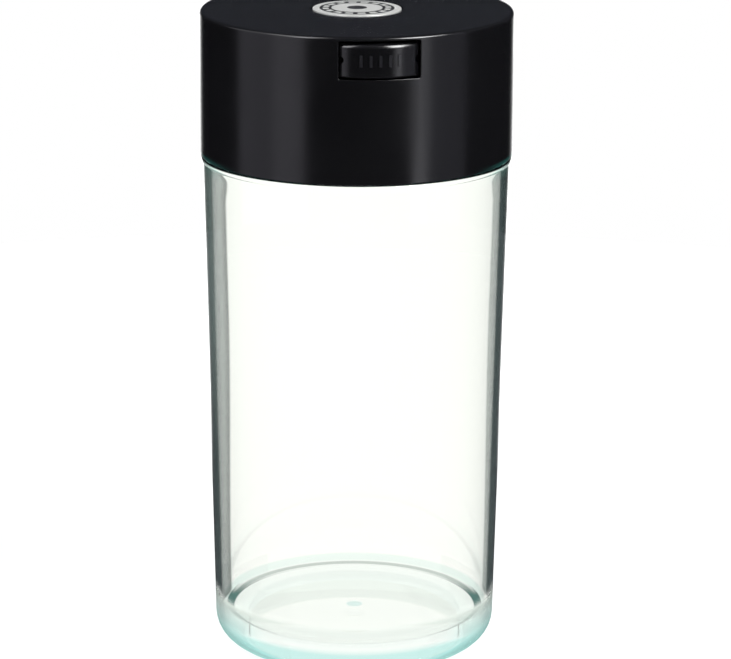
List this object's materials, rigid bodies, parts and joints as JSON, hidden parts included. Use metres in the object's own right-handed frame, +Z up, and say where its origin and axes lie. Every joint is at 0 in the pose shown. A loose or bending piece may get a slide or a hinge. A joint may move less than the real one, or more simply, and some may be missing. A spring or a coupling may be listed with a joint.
{
  "type": "vacuum seal canister",
  "caption": "Clear tapered round jar with a deep press-on black lid, a ring-sealed plug and a sprung push-button air vent.",
  "frame": {"origin": "centre of the ring that the jar stands on, at table height", "axes": "+Z up the jar's axis, -Y towards the vent button, +X to the right seen from the button"},
  "size_m": [0.08, 0.0807, 0.1683],
  "materials": {
    "clear_plastic": "clear, glossy, faintly blue-green at the edges",
    "lid_plastic": "satin black moulding",
    "plug_plastic": "plain black moulding",
    "button_plastic": "satin black moulding",
    "badge_foil": "silver foil disc",
    "seal_rubber": "soft black silicone",
    "spring_steel": "bright steel"
  },
  "bodies": {
    "jar": {"canister": "clear_plastic"},
    "seal": {"plug_seal": "seal_rubber"},
    "lid": {"lid_shell": "lid_plastic", "lid_plug": "plug_plastic", "lid_badge": "badge_foil", "button_spring": "spring_steel"},
    "button": {"push_button": "button_plastic", "valve_seal": "seal_rubber", "valve_retainer": "spring_steel"}
  },
  "joints": [
    {"name": "lid_lift", "type": "slide", "parent": "jar", "child": "seal", "axis": [0, 0, 1], "range_m": [0, 0.05]},
    {"name": "lid_turn", "type": "hinge", "parent": "seal", "child": "lid", "pos_m": [0, 0, 0.15], "axis": [0, 0, 1], "continuous": true},
    {"name": "button_press", "type": "slide", "parent": "lid", "child": "button", "axis": [0, 1, 0], "range_m": [0, 0.0018], "stiffness_N_per_m": 600, "springref_m": -0.002, "deforming": ["button_spring"]}
  ]
}
